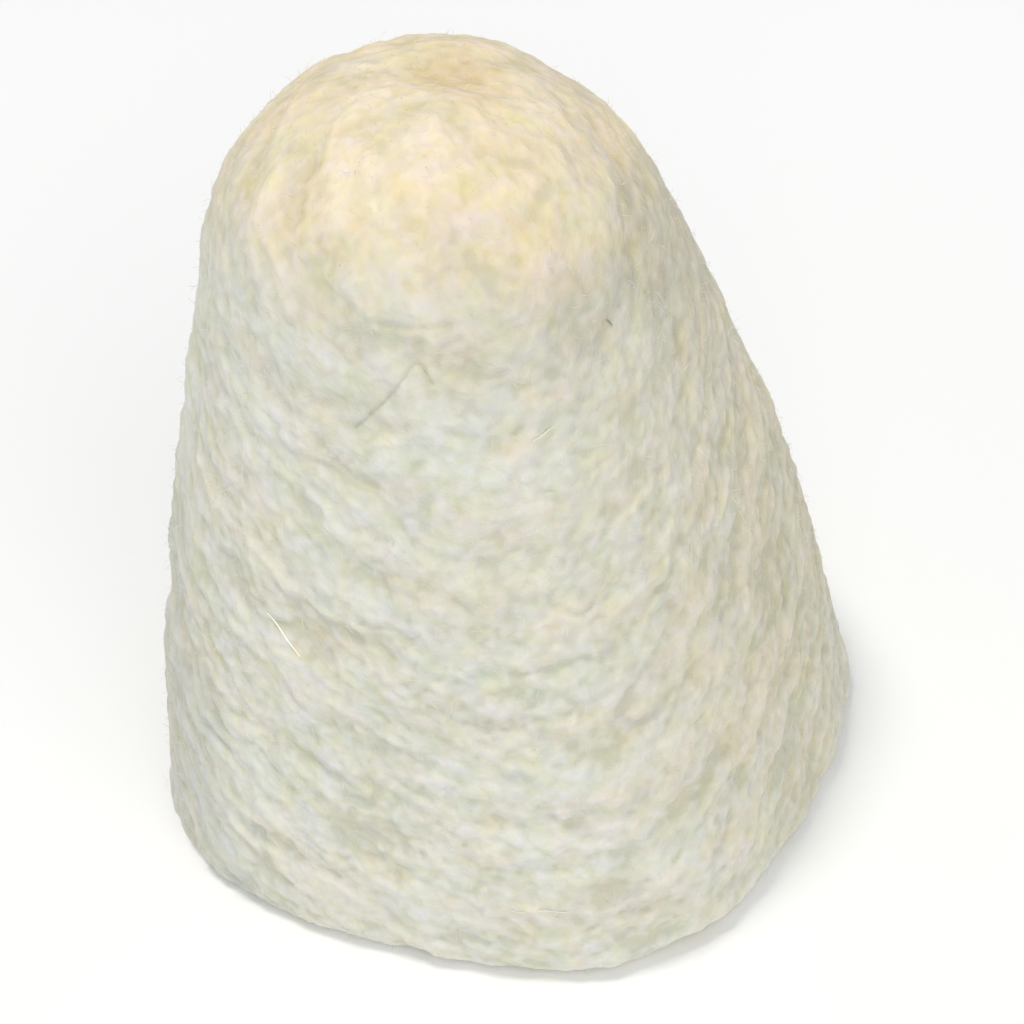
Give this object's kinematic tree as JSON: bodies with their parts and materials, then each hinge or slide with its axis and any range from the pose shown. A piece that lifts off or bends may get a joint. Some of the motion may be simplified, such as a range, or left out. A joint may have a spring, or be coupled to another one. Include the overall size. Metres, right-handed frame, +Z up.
{
  "type": "felt polishing bob",
  "caption": "Domed tapered bob of pressed wool felt for polishing stones, with a flanged threaded bush bonded in its base.",
  "frame": {"origin": "middle of the base plane, on the axis of the bush and its thread", "axes": "+Z up along the bob's height, from the base to the tip; -Y towards the straighter side of the base"},
  "size_m": [0.034, 0.0306, 0.0381],
  "materials": {
    "felt": "matte",
    "brass": "satin",
    "fibre": "matte",
    "epoxy": "gloss"
  },
  "bodies": {
    "root": {"felt_body": "felt", "threaded_bush": "brass", "fibre_washer": "fibre", "epoxy_sleeve": "epoxy"}
  },
  "joints": []
}
